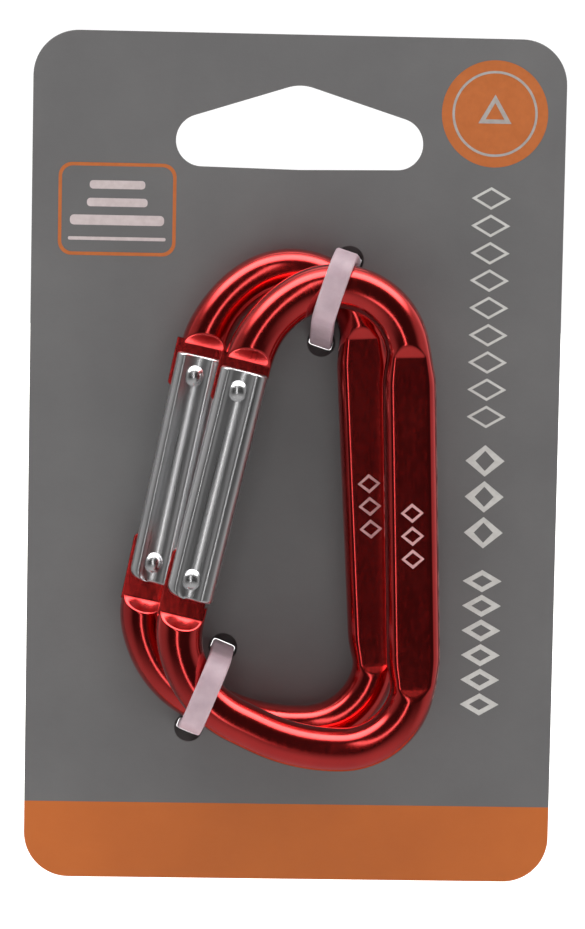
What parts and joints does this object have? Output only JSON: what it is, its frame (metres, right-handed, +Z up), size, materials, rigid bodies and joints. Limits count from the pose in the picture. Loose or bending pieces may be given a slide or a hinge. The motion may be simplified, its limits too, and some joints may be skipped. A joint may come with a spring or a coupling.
{
  "type": "carded carabiner pair",
  "caption": "Small D-shaped accessory carabiners with sprung solid gates, laid one over the other and fastened by cable ties to a hang card with a peg hole.",
  "frame": {"origin": "top of the card's peg hole, on the card's middle plane, where the peg bears", "axes": "+Z up along the card's height, +X to the right seen from the front, -Y towards the front, where the carabiners lie"},
  "size_m": [0.0636, 0.0166, 0.1016],
  "materials": {
    "card_print": "matt printed board, dark grey with an orange band",
    "red_anodised": "polished red anodised",
    "gate_metal": "satin bare",
    "rivet_steel": "bright, domed",
    "plunger_brass": "turned",
    "spring_steel": "bright wire",
    "tie_nylon": "natural translucent nylon"
  },
  "bodies": {
    "card_and_frames": {"card": "card_print", "tie_upper": "tie_nylon", "tie_lower": "tie_nylon", "back_frame": "red_anodised", "front_frame": "red_anodised"},
    "back_gate_body": {"back_gate": "gate_metal", "back_hinge_rivet": "rivet_steel", "back_latch_rivet": "rivet_steel", "back_spring": "spring_steel"},
    "back_plunger_body": {"back_plunger": "plunger_brass"},
    "front_gate_body": {"front_gate": "gate_metal", "front_hinge_rivet": "rivet_steel", "front_latch_rivet": "rivet_steel", "front_spring": "spring_steel"},
    "front_plunger_body": {"front_plunger": "plunger_brass"}
  },
  "joints": [
    {"name": "back_gate_hinge", "type": "hinge", "parent": "card_and_frames", "child": "back_gate_body", "pos_m": [-0.01653, -0.0032, -0.0568], "axis": [0, 1, 0], "range_deg": [0, 30], "stiffness_Nm_per_rad": 0.03, "springref_deg": -20.05, "deforming": ["back_spring"]},
    {"name": "back_plunger_slide", "type": "slide", "parent": "back_gate_body", "child": "back_plunger_body", "axis": [0.1968, 0, 0.9804], "range_m": [0, 0.0005]},
    {"name": "front_gate_hinge", "type": "hinge", "parent": "card_and_frames", "child": "front_gate_body", "pos_m": [-0.012, -0.0088, -0.0581], "axis": [0, 1, 0], "range_deg": [0, 30], "stiffness_Nm_per_rad": 0.03, "springref_deg": -20.05, "deforming": ["front_spring"]},
    {"name": "front_plunger_slide", "type": "slide", "parent": "front_gate_body", "child": "front_plunger_body", "axis": [0.2207, 0, 0.9753], "range_m": [0, 0.0005]}
  ],
  "couplings": [
    {"joint": "back_plunger_slide", "follows": "back_gate_hinge", "m_per_rad": 0.0007},
    {"joint": "front_plunger_slide", "follows": "front_gate_hinge", "m_per_rad": 0.0007}
  ]
}
